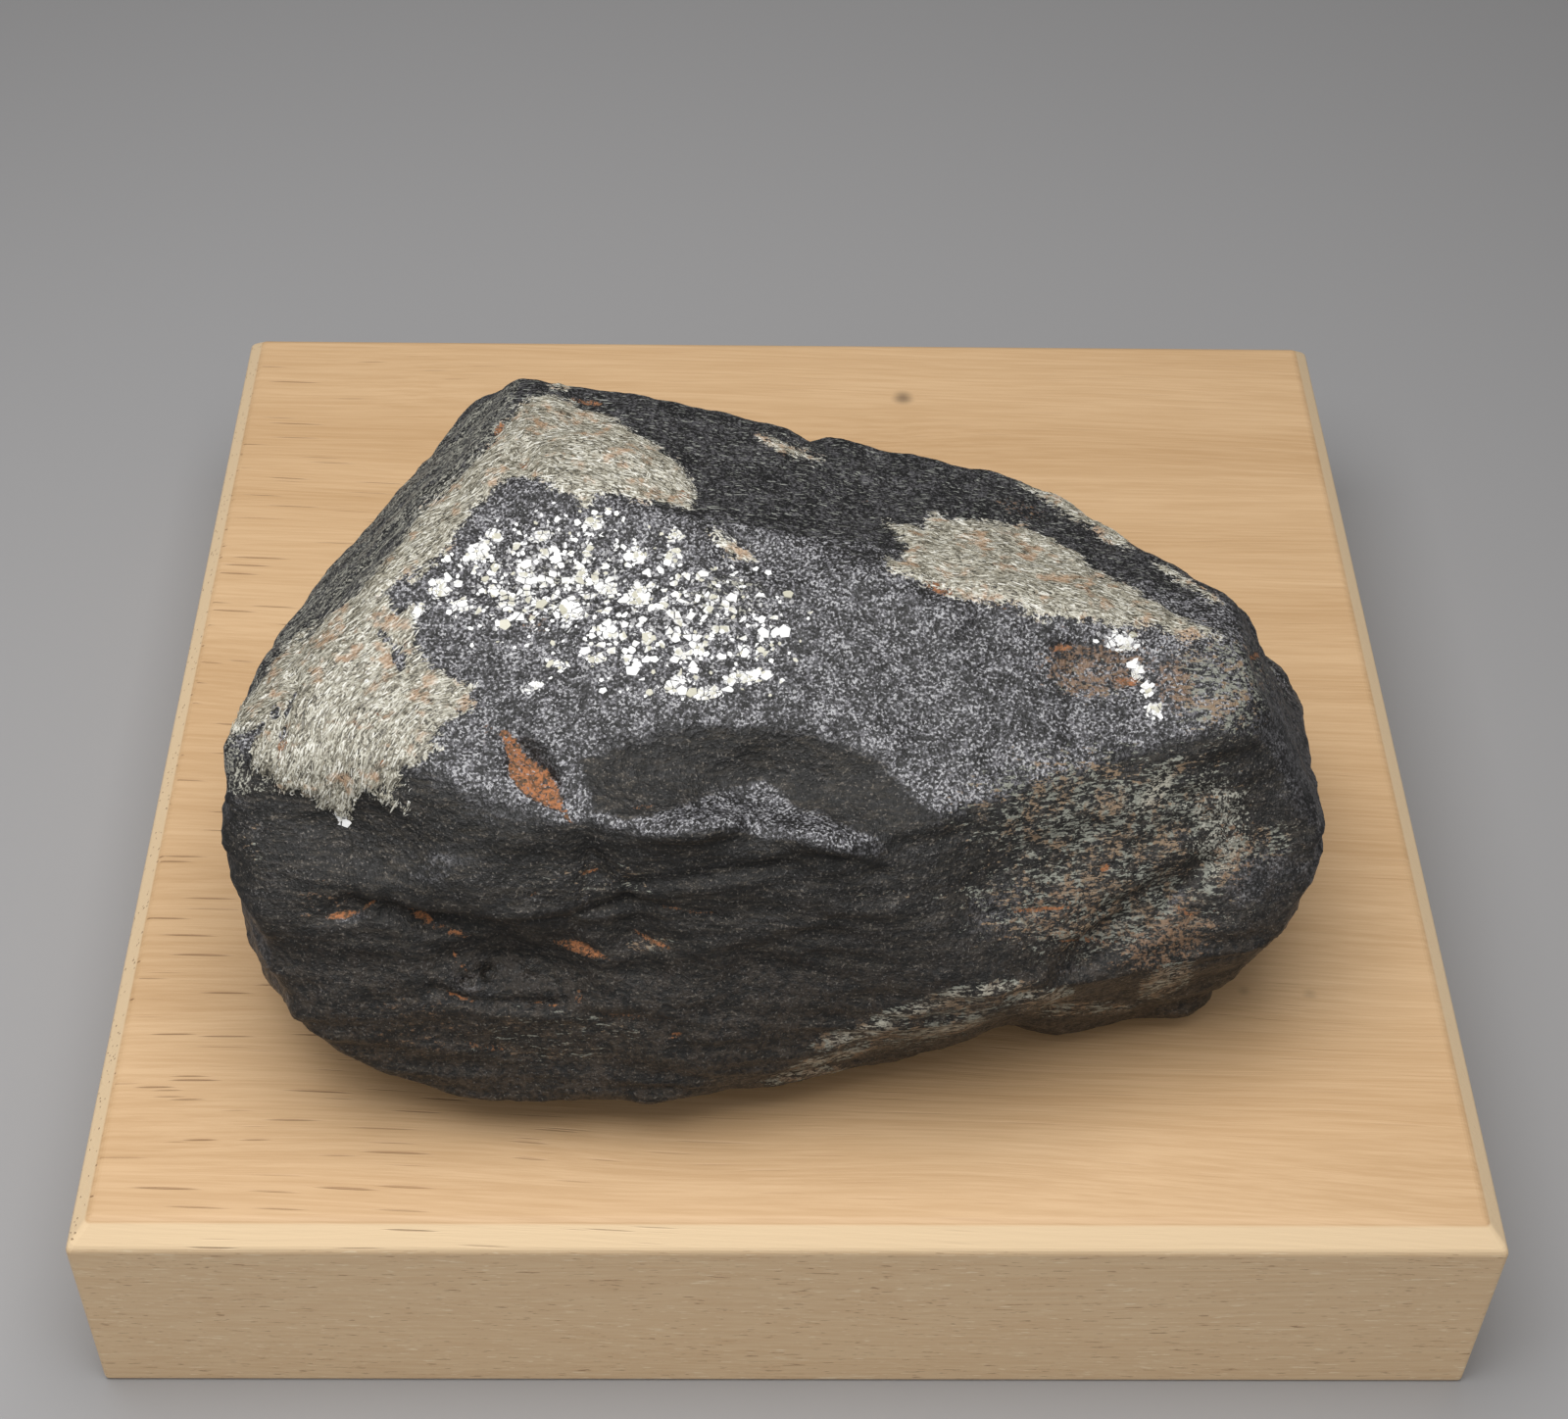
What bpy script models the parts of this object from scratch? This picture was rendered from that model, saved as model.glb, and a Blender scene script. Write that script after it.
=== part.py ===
"""Struverite rutile specimen lying on its wooden stand.

A dark, dense stone about 80 mm long rests on a square board with chamfered top edges.
The stone is split out of a block along its cleavage faces, worn at its edges, and then
marked with the hollows, lips, ribs and cracks that show on it. Lengths are in metres,
the stand's underside is at z = 0, and the stone's front faces -Y.
"""

import math
from typing import NamedTuple

import bmesh
import bpy
from mathutils import Matrix, Vector, noise

MM = 0.001

# Stand: a square board with its four top edges planed to 45 degrees
STAND_SIDE = 101.6 * MM
STAND_HEIGHT = 19.0 * MM
STAND_CHAMFER = 1.6 * MM

# Stone
STONE_CENTRE = Vector((-2.0, -13.0, 36.0)) * MM
REST_GAP = 0.3 * MM
EDGE_WEAR_PASSES = 5
MESH_STEP = 0.95 * MM
STONE_TRIANGLES = 8600

# Each cleavage face: azimuth of its outward normal (0 is +X, 90 is +Y), tilt of that normal
# from the vertical (90 is a wall, more is an undercut), and distance from the stone's centre
# in millimetres
FACES = {
    "front_top": (267, 16, 15.6),
    "front_top_right": (286, 22, 16.4),
    "back_top": (55, 18, 14.6),
    "left_shoulder": (171, 26, 23.6),
    "left_back": (157, 47, 27.4),
    "left_back_wall": (149, 93, 31.2),
    "left_tip": (176, 88, 36.4),
    "front_brow": (255, 45, 24.4),
    "front": (268, 72, 25.2),
    "front_right": (291, 53, 23.8),
    "right_end": (5, 61, 34.2),
    "right_end_low": (350, 100, 41.2),
    "right_back": (46, 58, 25.0),
    "right_back_wall": (48, 88, 31.8),
    "right_front_low": (317, 100, 40.4),
    "left_wall": (206, 95, 41.6),
    "left_low": (214, 128, 37.2),
    "back_wall": (80, 70, 20.6),
    "under_front": (284, 112, 29.8),
    "under_right": (340, 127, 37.6),
    "under_back": (88, 118, 26.0),
    "under_left_back": (152, 125, 30.0),
    "belly_left": (200, 159, 22.8),
    "belly_right": (350, 165, 22.9),
    "belly_front": (272, 160, 21.8),
    "belly_back": (85, 163, 18.6),
}


class Mark(NamedTuple):
    """A hollow or a raised form on one face, in millimetres and degrees.

    `along` runs level to the right of someone who looks at the face, `up` runs up its
    slope, both from the foot of the perpendicular from the stone's centre. `turn` tips
    the long side up at its right. A positive `rise` is raised, a negative one sunk. A
    lip swells slowly from its upper side and ends abruptly at its lower one.
    """

    face: str
    along: float
    up: float
    half_length: float
    half_width: float
    turn: float
    rise: float
    lip: bool = False


MARKS = {
    # front, under the flake-strewn top face
    "scoop_below_flakes": Mark("front_top", -0.5, -15.4, 14.5, 4.4, 1, -2.0),
    "rib_left": Mark("front", -3.6, 1.6, 6.0, 1.7, 11, 1.3),
    "rib_right": Mark("front", 4.8, 0.5, 5.4, 1.7, -19, 1.3),
    "fold_upper": Mark("front", -4.5, -2.2, 5.4, 1.2, 9, 0.8, lip=True),
    "fold_middle": Mark("front", 3.6, -3.8, 6.0, 1.3, -8, 0.8, lip=True),
    "fold_lower": Mark("front", -1.8, -7.0, 6.8, 1.5, 5, 0.7, lip=True),
    "rust_crack": Mark("front_top", -14.5, -15.6, 5.4, 1.5, -49, -1.2),
    "crack_tail": Mark("front", -10.8, -1.2, 5.2, 1.7, -78, -1.2),
    "lens_lip": Mark("front", -16.6, -3.8, 9.2, 3.2, -3, 1.7, lip=True),
    "recess_below_lens": Mark("front", -15.8, -9.4, 7.2, 3.0, -2, -1.7),
    "recess_sill": Mark("front", -17.2, -12.8, 6.0, 1.4, -7, 0.8, lip=True),
    "pit_left": Mark("front", -27.4, -5.2, 2.3, 1.5, 0, -1.1),
    "scoop_left": Mark("front", -27.0, -0.6, 7.5, 3.4, -8, -1.1),
    "valley": Mark("front", -8.0, -7.2, 5.0, 2.6, -84, -0.9),
    "swelling_low_left": Mark("front", -25.0, -13.0, 9.0, 6.0, 0, 0.8),
    "swelling_low": Mark("front", -4.0, -13.5, 10.0, 5.0, 4, 0.8),
    # right of the front
    "crease": Mark("front_right", 15.8, -18.4, 8.4, 1.7, 22, -1.4),
    "swelling_right": Mark("front_right", 25.4, -20.4, 6.0, 4.2, 10, 1.0),
    "swelling_shoulder": Mark("front_right", 23.6, -8.0, 6.0, 4.6, 0, 0.6),
    "dip_right": Mark("front_right", 9.0, -13.0, 8.0, 4.4, 8, -0.7),
    "foot_notch": Mark("under_front", 9.4, -4.2, 6.4, 4.2, 6, -2.2),
    "foot_notch_low": Mark("belly_front", 18.0, 19.6, 5.0, 4.2, 0, -0.8),
    "foot": Mark("under_front", 26.0, -4.0, 4.6, 3.0, 0, 1.2),
    "end_notch": Mark("right_back", -25.6, -13.6, 5.4, 4.4, 0, -2.2),
    # top faces
    "mica_sheet": Mark("front_top", -26.0, -12.4, 8.6, 6.4, 45, 0.6, lip=True),
    "stain_dip": Mark("front_top_right", 20.0, -10.6, 6.6, 3.4, 4, -0.6),
    "diagonal_dent": Mark("front_top_right", 12.4, -5.6, 4.2, 1.9, 35, -0.6),
    "crest_bite": Mark("back_top", -1.8, 6.2, 6.4, 3.0, 31, -1.2),
    "mica_back_left": Mark("back_top", 13.6, 5.0, 8.4, 5.2, 20, 0.5),
    "mica_back_right": Mark("back_top", -16.4, -4.6, 13.5, 4.4, 24, 0.5),
    # back, left and right walls, and the overhangs
    "back_scoop": Mark("back_wall", -9.0, -3.0, 12.0, 5.4, 7, -1.9),
    "back_ledge": Mark("back_wall", 11.0, -6.0, 10.0, 3.4, -9, 1.5, lip=True),
    "back_ledge_low": Mark("back_wall", -4.0, -12.5, 14.0, 3.0, 4, 1.2, lip=True),
    "back_groove": Mark("back_wall", 2.0, 1.0, 8.0, 1.5, -38, -1.2),
    "back_corner_scoop": Mark("right_back_wall", 3.0, -2.0, 6.5, 5.0, 20, -1.3),
    "back_corner_lip": Mark("right_back_wall", -4.0, -9.0, 7.0, 2.4, -6, 1.0, lip=True),
    "left_back_scoop": Mark("left_back_wall", -4.0, -3.0, 8.0, 5.0, 12, -1.6),
    "left_back_lip": Mark("left_back_wall", 6.0, 1.5, 7.5, 2.8, -14, 1.2, lip=True),
    "left_back_groove": Mark("left_back", 0.0, -1.0, 16.0, 1.5, 3, -0.7),
    "left_lip": Mark("left_wall", 2.0, -4.0, 6.0, 2.2, 8, 0.9, lip=True),
    "right_scoop": Mark("right_end_low", 0.0, -2.0, 6.5, 4.0, -10, -1.1),
    "undercut_hollow_right": Mark("under_right", 0.0, 0.0, 8.0, 4.0, 0, -1.2),
    "undercut_hollow_back": Mark("under_back", 4.0, 0.0, 12.0, 4.0, 5, -1.2),
}

# Unevenness of the whole surface: height and grain size of each layer, in millimetres
WAVES = ((0.50, 13.0), (0.26, 5.5), (0.12, 2.4))
# The rock's layers show as fine level steps on its steep sides: height, length and thickness
LAYERING = (0.42, 9.0, 2.0)
NOISE_SEED = Vector((3.7, 11.2, 5.1))

STONE_COLOUR = (0.028, 0.027, 0.030, 1.0)
WOOD_COLOUR = (0.64, 0.42, 0.20, 1.0)


def clear_scene():
    for obj in list(bpy.data.objects):
        bpy.data.objects.remove(obj, do_unlink=True)


def make_material(name, colour, roughness, metallic=0.0):
    material = bpy.data.materials.new(name)
    material.use_nodes = True
    shader = material.node_tree.nodes["Principled BSDF"]
    shader.inputs["Base Color"].default_value = colour
    shader.inputs["Roughness"].default_value = roughness
    shader.inputs["Metallic"].default_value = metallic
    return material


def add_object(name, mesh, material):
    mesh.materials.clear()
    mesh.materials.append(material)
    obj = bpy.data.objects.new(name, mesh)
    bpy.context.scene.collection.objects.link(obj)
    return obj


def make_stand():
    """A square board with its four top edges chamfered."""
    bm = bmesh.new()
    size = Matrix.Diagonal((STAND_SIDE, STAND_SIDE, STAND_HEIGHT, 1.0))
    lift = Matrix.Translation((0, 0, STAND_HEIGHT / 2))
    bmesh.ops.create_cube(bm, size=1.0, matrix=lift @ size)
    top = [e for e in bm.edges if all(v.co.z > STAND_HEIGHT - MM for v in e.verts)]
    bmesh.ops.bevel(bm, geom=top, offset=STAND_CHAMFER, segments=1, affect="EDGES")
    mesh = bpy.data.meshes.new("wooden_stand")
    bm.to_mesh(mesh)
    bm.free()
    return add_object("wooden_stand", mesh, make_material("pale_wood", WOOD_COLOUR, 0.55))


def outward(azimuth, tilt):
    """The unit normal of a face from its azimuth and tilt in degrees."""
    turn, lean = math.radians(azimuth), math.radians(tilt)
    return Vector((math.sin(lean) * math.cos(turn), math.sin(lean) * math.sin(turn), math.cos(lean)))


def face_frame(name):
    """Foot point, normal, and the level and upward directions of a face."""
    azimuth, tilt, distance = FACES[name]
    normal = outward(azimuth, tilt)
    along = Vector((0, 0, 1)).cross(normal).normalized()
    return STONE_CENTRE + normal * distance * MM, normal, along, normal.cross(along)


def split_out_stone():
    """A rough block with everything outside each cleavage face cut away."""
    bm = bmesh.new()
    bmesh.ops.create_cube(bm, size=160 * MM, matrix=Matrix.Translation(STONE_CENTRE))
    rest = (STONE_CENTRE.z - STAND_HEIGHT - REST_GAP) / MM
    for azimuth, tilt, distance in (*FACES.values(), (0, 180, rest)):
        normal = outward(azimuth, tilt)
        cut = bmesh.ops.bisect_plane(
            bm,
            geom=[*bm.verts, *bm.edges, *bm.faces],
            plane_co=STONE_CENTRE + normal * distance * MM,
            plane_no=normal,
            clear_outer=True,
        )
        rim = [item for item in cut["geom_cut"] if isinstance(item, bmesh.types.BMEdge)]
        bmesh.ops.holes_fill(bm, edges=rim)
    mesh = bpy.data.meshes.new("split_stone")
    bm.to_mesh(mesh)
    bm.free()
    return mesh


def worn(mesh):
    """The same form as an even, dense mesh with its edges rubbed round."""
    helper = bpy.data.objects.new("split_stone", mesh)
    bpy.context.scene.collection.objects.link(helper)
    remesh = helper.modifiers.new("even_mesh", "REMESH")
    remesh.mode = "VOXEL"
    remesh.voxel_size = MESH_STEP
    wear = helper.modifiers.new("edge_wear", "SMOOTH")
    wear.factor = 0.5
    wear.iterations = EDGE_WEAR_PASSES
    graph = bpy.context.evaluated_depsgraph_get()
    dense = bpy.data.meshes.new_from_object(helper.evaluated_get(graph))
    bpy.data.objects.remove(helper, do_unlink=True)
    return dense


def mark_rise(mark, frame, point, normal):
    """How far one mark moves a surface point outward, in metres."""
    foot, face_normal, along, up = frame
    facing = normal.dot(face_normal)
    if facing < 0.15:
        return 0.0
    offset = (point - foot) / MM
    u = offset.dot(along) - mark.along
    v = offset.dot(up) - mark.up
    turn = math.radians(mark.turn)
    s = (u * math.cos(turn) + v * math.sin(turn)) / mark.half_length
    t = (v * math.cos(turn) - u * math.sin(turn)) / mark.half_width
    reach = s * s + t * t
    if reach >= 1.0:
        return 0.0
    weight = (1.0 - reach) ** 2
    if mark.lip:
        lower_rim = -math.sqrt(1.0 - s * s)
        weight = (1.0 - s * s) * min(1.0, 1.7 * (t - lower_rim)) * (0.5 - 0.5 * t)
    return mark.rise * weight * min(1.0, 2.0 * (facing - 0.15)) * MM


def unevenness(point, normal):
    """Rolling and layered roughness of the bare rock, in metres."""
    height = 0.0
    for amplitude, grain in WAVES:
        height += amplitude * noise.noise(point / (grain * MM) + NOISE_SEED)
    amplitude, length, thickness = LAYERING
    squeezed = Vector((point.x / length, point.y / length, point.z / thickness)) / MM
    steepness = 1.0 - abs(normal.z)
    height += amplitude * steepness * noise.noise(squeezed + NOISE_SEED)
    return height * MM


def carve(mesh):
    """Moves every point of the worn stone by its marks and its unevenness."""
    frames = {face: face_frame(face) for face in FACES}
    floor = STAND_HEIGHT + REST_GAP
    moved = []
    for vertex in mesh.vertices:
        point, normal = vertex.co, vertex.normal
        rise = unevenness(point, normal)
        for mark in MARKS.values():
            rise += mark_rise(mark, frames[mark.face], point, normal)
        target = point + normal * rise
        moved.append(Vector((target.x, target.y, max(target.z, floor))))
    for vertex, target in zip(mesh.vertices, moved):
        vertex.co = target


def make_stone():
    """The specimen: one solid, resting on a flat spot of its underside."""
    mesh = worn(split_out_stone())
    carve(mesh)
    mesh.shade_smooth()
    stone = add_object("struverite_stone", mesh, make_material("dark_ore", STONE_COLOUR, 0.42, 0.35))
    triangles = sum(len(polygon.vertices) - 2 for polygon in mesh.polygons)
    thin = stone.modifiers.new("thin_out", "DECIMATE")
    thin.ratio = STONE_TRIANGLES / triangles
    thin.use_collapse_triangulate = True
    return stone


def main():
    clear_scene()
    make_stand()
    make_stone()


main()
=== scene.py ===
"""Struverite rutile specimen on its wooden stand: the finish of every surface.

The stone's split and worn form comes from the frame. Here it gets its fine relief, the
sheets of fibrous mica that have grown into it, loose white mica flakes, rust and stains.
The stand gets eased edges and its open-pored wood. Lengths are in metres where Blender
holds them, and in millimetres where the stone's surface is worked out.
"""

import math
from typing import NamedTuple

import bmesh
import bpy
import numpy as np
from bpy.props import FloatProperty, FloatVectorProperty, IntProperty, PointerProperty
from mathutils import Euler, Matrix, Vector, noise


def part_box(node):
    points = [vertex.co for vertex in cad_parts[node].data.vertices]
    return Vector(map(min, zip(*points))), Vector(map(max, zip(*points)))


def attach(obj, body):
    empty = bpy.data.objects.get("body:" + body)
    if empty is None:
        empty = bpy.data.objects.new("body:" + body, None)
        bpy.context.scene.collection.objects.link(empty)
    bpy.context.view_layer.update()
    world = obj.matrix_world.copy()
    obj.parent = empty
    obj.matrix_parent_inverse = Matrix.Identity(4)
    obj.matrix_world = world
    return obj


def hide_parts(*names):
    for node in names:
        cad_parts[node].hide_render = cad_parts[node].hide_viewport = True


bl_info = {
    "name": "Struverite rutile specimen",
    "version": (1, 0, 0),
    "blender": (4, 5, 0),
    "location": "View3D > Sidebar > Specimen",
    "description": "Finishes a struverite rutile stone and its wooden stand",
    "category": "Object",
}

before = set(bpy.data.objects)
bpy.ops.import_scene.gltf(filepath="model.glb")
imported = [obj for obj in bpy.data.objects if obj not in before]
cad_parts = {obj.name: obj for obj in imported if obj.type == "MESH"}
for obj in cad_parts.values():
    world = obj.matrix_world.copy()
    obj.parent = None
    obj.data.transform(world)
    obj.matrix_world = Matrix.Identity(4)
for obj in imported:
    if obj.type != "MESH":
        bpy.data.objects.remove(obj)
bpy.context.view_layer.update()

MM = 0.001
MERGE_DISTANCE = 1e-6

# The photo's size, its camera's focal length in pixels, and the camera's place and turn
PHOTO_WIDTH, PHOTO_HEIGHT = 1600, 1448
FOCAL_PIXELS = 2754.84
CAMERA_PLACE = (-4.09, -155.24, 180.11)
CAMERA_TURN = (44.077, -0.973, -0.469)
SENSOR_WIDTH = 36.0

Socket = bpy.types.NodeSocket


class Sheet(NamedTuple):
    """A sheet of fibrous mica: its outline and the strokes its fibres follow, in the photo's pixels."""

    outline: tuple
    strokes: tuple
    rise: float = 0.22


class Spot(NamedTuple):
    """A soft-edged elliptical spot, with its long side tipped by `turn` degrees.

    It is given in the photo's pixels or, on the sides that it hides, in millimetres across and up.
    """

    across: float
    down: float
    half_length: float
    half_width: float
    turn: float = 0.0
    strength: float = 1.0
    view: str = "photo"


def spots(*rows, view="photo"):
    """Spots of one view, each row in the order of Spot's fields."""
    return tuple(Spot(*row, view=view) for row in rows)


class Patch(NamedTuple):
    """A marking inside an outline in the photo, with its edge `soft` millimetres wide."""

    outline: tuple
    strength: float
    soft: float
    view: str = "photo"


class Seam(NamedTuple):
    """A crack or a small ledge along a line in the photo, in millimetres wide and deep."""

    line: tuple
    half_width: float
    depth: float


MICA_SHEETS = {
    "apex_sheet": Sheet(
        (
            (541, 404), (566, 404), (597, 413), (643, 439), (668, 454), (689, 472), (704, 490),
            (712, 505), (704, 518), (679, 514), (650, 512), (635, 504), (612, 507), (597, 514),
            (577, 502), (551, 490), (538, 482), (520, 486), (508, 470), (520, 430),
        ),
        (
            (500, 480, 540, 430), (550, 425, 590, 425), (620, 440, 660, 462),
            (680, 480, 705, 505), (560, 470, 600, 475),
        ),
    ),
    "left_strip": Sheet(
        (
            (541, 404), (560, 412), (562, 450), (541, 480), (514, 489), (497, 510), (475, 532),
            (457, 561), (439, 579), (418, 589), (398, 602), (377, 620), (371, 640), (380, 660),
            (300, 720), (271, 743), (247, 743), (226, 753), (214, 780), (211, 776), (240, 725),
            (271, 690), (300, 654), (336, 621), (362, 602), (386, 579), (407, 552), (425, 523),
            (452, 493), (482, 468), (496, 450), (523, 423),
        ),
        ((240, 740, 300, 660), (330, 640, 400, 570), (430, 540, 500, 460)),
    ),
    "left_sheet": Sheet(
        (
            (343, 637), (377, 612), (396, 606), (418, 618), (424, 640), (424, 661), (435, 668),
            (441, 686), (465, 696), (483, 700), (478, 710), (485, 721), (465, 731), (451, 741),
            (448, 759), (439, 773), (424, 784), (406, 786), (414, 804), (392, 806), (402, 818),
            (424, 831), (396, 822), (373, 808), (362, 814), (356, 841), (337, 829), (322, 818),
            (306, 806), (290, 812), (282, 796), (262, 790), (255, 767), (271, 743), (275, 722),
            (271, 702), (286, 690), (314, 659),
        ),
        (
            (285, 770, 300, 700), (320, 790, 335, 730), (370, 790, 385, 740),
            (400, 760, 430, 715), (430, 730, 478, 712), (340, 690, 380, 650),
        ),
        0.3,
    ),
    "right_sheet": Sheet(
        (
            (902, 531), (916, 539), (944, 539), (950, 520), (956, 524), (972, 533), (1011, 532),
            (1042, 536), (1070, 550), (1093, 561), (1107, 573), (1129, 587), (1157, 601),
            (1177, 615), (1211, 631), (1246, 650), (1208, 649), (1180, 643), (1141, 640),
            (1112, 634), (1090, 634), (1068, 631), (1054, 626), (1028, 615), (1000, 615),
            (981, 609), (953, 598), (933, 589), (913, 584), (899, 567), (916, 573), (925, 564),
            (913, 545),
        ),
        (
            (915, 560, 985, 578), (1000, 560, 1080, 592), (1080, 590, 1200, 637),
            (930, 535, 962, 541),
        ),
    ),
    "crest_flake": Sheet(
        ((722, 542), (735, 544), (752, 556), (775, 566), (773, 572), (748, 568), (730, 553)),
        ((722, 543, 775, 569),),
        0.1,
    ),
    "apex_flake": Sheet(
        ((561, 397), (570, 390), (583, 392), (578, 398)), ((561, 396, 583, 393),), 0.1
    ),
    "back_fleck": Sheet(
        ((770, 444), (790, 449), (812, 457), (842, 468), (820, 466), (795, 462), (778, 452)),
        ((770, 446, 842, 468),),
        0.08,
    ),
    "edge_ribbon": Sheet(
        (
            (1036, 487), (1060, 498), (1084, 511), (1110, 523), (1135, 538), (1157, 560),
            (1150, 563), (1127, 551), (1104, 535), (1084, 523), (1060, 508),
        ),
        ((1040, 490, 1150, 560),),
    ),
    "edge_line": Sheet(
        ((1178, 576), (1200, 583), (1225, 598), (1246, 618), (1220, 602), (1196, 588)),
        ((1180, 578, 1244, 616),),
        0.1,
    ),
}

# Dark ore showing through the mica, and holes in it
ISLANDS = spots(
    (407, 613, 17, 8, 88), (392, 650, 12, 6, -50), (407, 672, 17, 7, -75), (296, 714, 20, 4, 68),
    (289, 748, 10, 4, 78), (281, 727, 8, 4, 80),
)

# Earthy rust, first the main spot left of the hollow
RUST_SPOTS = (
    Patch(
        (
            (506, 733), (519, 742), (530, 752), (536, 765), (546, 773), (560, 783), (570, 796),
            (575, 810), (580, 822), (588, 842), (580, 846), (570, 828), (552, 822), (534, 812),
            (522, 800), (516, 785), (516, 770), (508, 752),
        ),
        1.0,
        0.3,
    ),
    # Around the main spot and along the edges of the mica
    *spots(
        (500, 742, 20, 12, -40, 0.6), (560, 760, 30, 14, -50, 0.45), (289, 762, 30, 9, 84, 0.9),
        (388, 728, 12, 9, 20, 0.8), (392, 779, 15, 7, 5, 0.8), (440, 690, 14, 6, -20, 0.7),
        (533, 470, 16, 8, 15, 0.8), (600, 408, 36, 5, -8, 0.8), (508, 434, 20, 5, 42, 0.9),
        (697, 506, 17, 10, -20, 0.9), (960, 600, 36, 8, -22, 0.9), (1020, 618, 20, 5, -15, 0.7),
        (1080, 640, 40, 5, -8, 0.6), (1160, 646, 30, 4, -10, 0.6),
    ),
    # In the crack under the front ledge, and below it
    *spots(
        (348, 934, 28, 7, 10, 1.12), (375, 925, 18, 4, 20, 0.94), (428, 945, 30, 5, -22, 1.06),
        (462, 957, 38, 4, -12), (469, 982, 22, 4, -50, 1.06), (468, 1019, 45, 3, -20, 1.12),
        (552, 1025, 42, 3, -10), (594, 972, 50, 7, -14, 1.12), (590, 1018, 6, 22, 0, 0.89),
        (542, 914, 15, 3, 30, 0.94), (602, 890, 20, 4, 15, 1.06), (664, 960, 42, 6, -28),
        (690, 1060, 18, 5, 0, 0.94), (500, 1070, 75, 9, -8, 0.64), (640, 1040, 75, 9, -8, 0.64),
        (700, 930, 75, 6, -8, 0.71),
    ),
    # On the right wall, and in the top over it
    *spots(
        (1060, 928, 75, 5, 3), (1110, 960, 62, 4, 3, 0.94), (1210, 930, 25, 6, -40, 0.94),
        (655, 822, 42, 5, 12, 0.71), (1128, 886, 11, 9), (1150, 694, 34, 10, -10, 0.88),
        (1085, 660, 26, 8, 10, 0.9), (1284, 668, 9, 7, 0, 0.9),
    ),
    # Guessed, on the hidden sides
    *spots((8, 36, 4, 0.9, 20, 1.1), (-15, 31, 3, 0.8, -15), view="back"),
    *spots((-20, 32, 3, 0.8, 30), view="left"),
    *spots((-12, 30, 3, 0.8, -20), view="right"),
)

# Brown iron stains
STAIN_SPOTS = (
    # Beside the right sheet, and behind the main rust spot
    *spots(
        (1118, 682, 100, 50, 4, 1.1), (1200, 697, 36, 50, 0, 1.1), (546, 636, 22, 26, 0, 0.8),
        (500, 750, 30, 22, 0, 0.6),
    ),
    # Low on the right wall and on the front
    *spots(
        (1080, 930, 150, 80, 5, 0.7), (1190, 960, 110, 60, 20, 0.9), (1260, 870, 60, 90, 0, 0.7),
        (420, 1050, 150, 90, 0, 0.6), (330, 920, 80, 60, 0, 0.6),
    ),
    # Along the crest
    *spots(
        (800, 460, 50, 22, -15, 0.6), (1040, 520, 60, 20, -15, 0.7), (880, 512, 16, 6, 0, 0.6),
    ),
    # Guessed, on the hidden sides
    *spots((18, 30, 13, 5, 8, 0.9), (-22, 28, 11, 4, -10, 0.9), view="back"),
    *spots((-24, 34, 8, 6, 0, 0.8), view="left"),
)

# Pale flecks and streaks in the rock
FLECK_SPOTS = (
    # All over the right wall, with two slanting streaks
    *spots(
        (1120, 830, 270, 130, 0, 0.86), (1120, 920, 270, 120, 0, 0.82),
        (1180, 808, 66, 24, 52, 1.6), (1252, 880, 56, 20, 52, 1.5), (1230, 800, 90, 90, 0, 0.6),
        (1300, 860, 40, 60, -60, 0.8),
    ),
    # Streaks along the lower right edge
    *spots(
        (1000, 1012, 80, 12, 8, 1.9), (1062, 1018, 60, 10, 6, 1.5), (930, 1032, 80, 11, 14, 1.8),
        (880, 1055, 75, 13, 15, 2.0), (965, 1052, 70, 9, 14, 1.5), (850, 1080, 70, 8, 14, 1.7),
        (820, 1098, 70, 6, 10, 1.5), (950, 1042, 190, 42, 16, 0.85),
    ),
    # Thin rows on the right wall, and a few on the front and the top
    *spots(
        (1100, 1030, 120, 14, 0, 0.9), (1190, 1000, 50, 24, 30, 1.4), (1150, 935, 90, 10, 0, 0.9),
        (1100, 958, 80, 7), (1000, 912, 60, 9, -5, 0.8), (900, 915, 70, 14, 0, 0.6),
        (660, 965, 40, 16, 10, 0.9), (620, 900, 150, 50, 0, 0.58), (560, 1060, 210, 70, 0, 0.62),
        (1245, 700, 100, 100, 0, 0.95), (1120, 690, 110, 50, 0, 0.7), (260, 860, 40, 60, 0, 0.6),
    ),
    # Guessed, on the hidden sides
    *spots((-5, 27, 15, 3, -5, 1.4), (22, 38, 10, 3, 12, 1.2), view="back"),
    *spots((-15, 28, 11, 3, 12, 1.3), view="left"),
    *spots((-4, 30, 8, 3, -15, 1.2), view="right"),
)

# A thin film of mica: the left shoulder, the back right edge and faint patches between
FILM_SPOTS = (
    Patch(
        (
            (541, 375), (480, 410), (420, 465), (370, 515), (320, 580), (280, 635), (235, 700),
            (190, 780), (200, 812), (250, 818), (290, 815), (285, 780), (262, 790),
            (250, 760), (271, 745), (300, 700), (372, 640), (420, 590), (480, 530), (541, 480),
            (530, 420),
        ),
        0.9,
        0.6,
    ),
    Patch(
        (
            (1020, 478), (1080, 505), (1140, 535), (1200, 580), (1260, 620), (1290, 660),
            (1250, 650), (1150, 600), (1060, 530),
        ),
        0.5,
        0.8,
    ),
    *spots(
        (1245, 840, 70, 110, 0, 0.95), (1000, 840, 120, 40, 0, 0.45),
        (740, 610, 110, 60, 0, 0.75), (560, 600, 130, 90, 0, 0.75), (600, 690, 100, 30, 0, 0.5),
        (1130, 680, 90, 50, 0, 0.6),
    ),
)

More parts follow.
